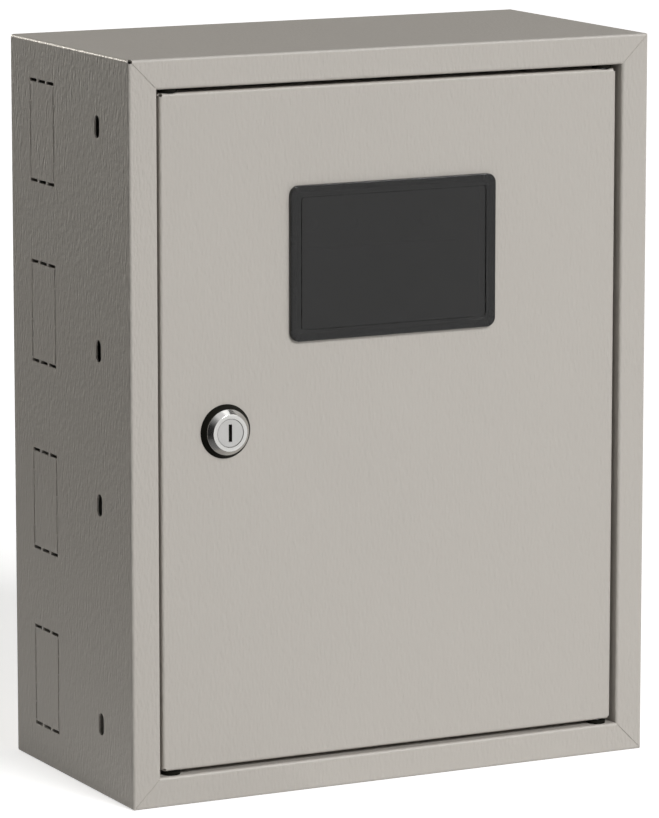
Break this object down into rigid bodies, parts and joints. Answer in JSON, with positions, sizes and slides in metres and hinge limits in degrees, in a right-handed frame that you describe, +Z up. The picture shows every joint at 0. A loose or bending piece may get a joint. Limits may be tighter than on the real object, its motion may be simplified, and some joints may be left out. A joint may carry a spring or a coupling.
{
  "type": "electric meter box",
  "caption": "Wall-mounted folded steel meter box with a hinged inset door, smoked reading window, cam lock, side knock-outs and an inner mounting panel with a device rail.",
  "frame": {"origin": "on the wall plane at the centre of the four wall holes", "axes": "+X to the viewer's right, +Y into the wall, +Z up; the door faces -Y"},
  "size_m": [0.31, 0.156, 0.398],
  "materials": {
    "case_paint": "warm light grey powder coat with a fine orange-peel texture",
    "black_plastic": "satin black plastic",
    "zinc_steel": "bright zinc plating",
    "galvanised_sheet": "galvanised sheet",
    "smoked_plastic": "glossy smoked clear plastic",
    "lock_chrome": "polished chrome",
    "lock_satin": "satin nickel",
    "brass": "plain brass",
    "blue_plastic": "blue moulded plastic",
    "green_plastic": "green moulded plastic"
  },
  "bodies": {
    "case": {"wrapper": "case_paint", "back_panel": "case_paint", "hinge_bushes": "black_plastic", "panel_studs": "zinc_steel", "panel_washers": "zinc_steel", "panel_nuts": "zinc_steel", "rail_screws": "zinc_steel", "rail_nuts": "zinc_steel", "neutral_bolts": "zinc_steel", "earth_bolts": "zinc_steel", "neutral_screws": "zinc_steel", "earth_screws": "zinc_steel", "earth_stud": "zinc_steel", "earth_washer": "zinc_steel", "earth_nut": "zinc_steel", "mounting_panel": "galvanised_sheet", "din_rail": "galvanised_sheet", "neutral_bar": "brass", "earth_bar": "brass", "neutral_feet": "blue_plastic", "earth_feet": "green_plastic"},
    "door": {"door_panel": "case_paint", "window": "smoked_plastic", "hinge_pins": "zinc_steel", "hinge_brackets": "case_paint", "pin_clips": "zinc_steel", "lock_collar": "black_plastic", "lock_housing": "lock_chrome", "lock_washer": "zinc_steel", "lock_nut": "zinc_steel", "door_earth_stud": "zinc_steel", "door_earth_nut": "zinc_steel"},
    "lock_rotor": {"lock_plug": "lock_satin", "lock_cam": "zinc_steel", "cam_washer": "zinc_steel", "cam_screw": "zinc_steel"}
  },
  "joints": [
    {"name": "door_hinge", "type": "hinge", "parent": "case", "child": "door", "pos_m": [0.13, -0.145, 0], "axis": [0, 0, 1], "range_deg": [0, 110]},
    {"name": "lock_turn", "type": "hinge", "parent": "door", "child": "lock_rotor", "pos_m": [-0.0992, -0.145, 0], "axis": [0, 1, 0], "range_deg": [0, 90]}
  ]
}
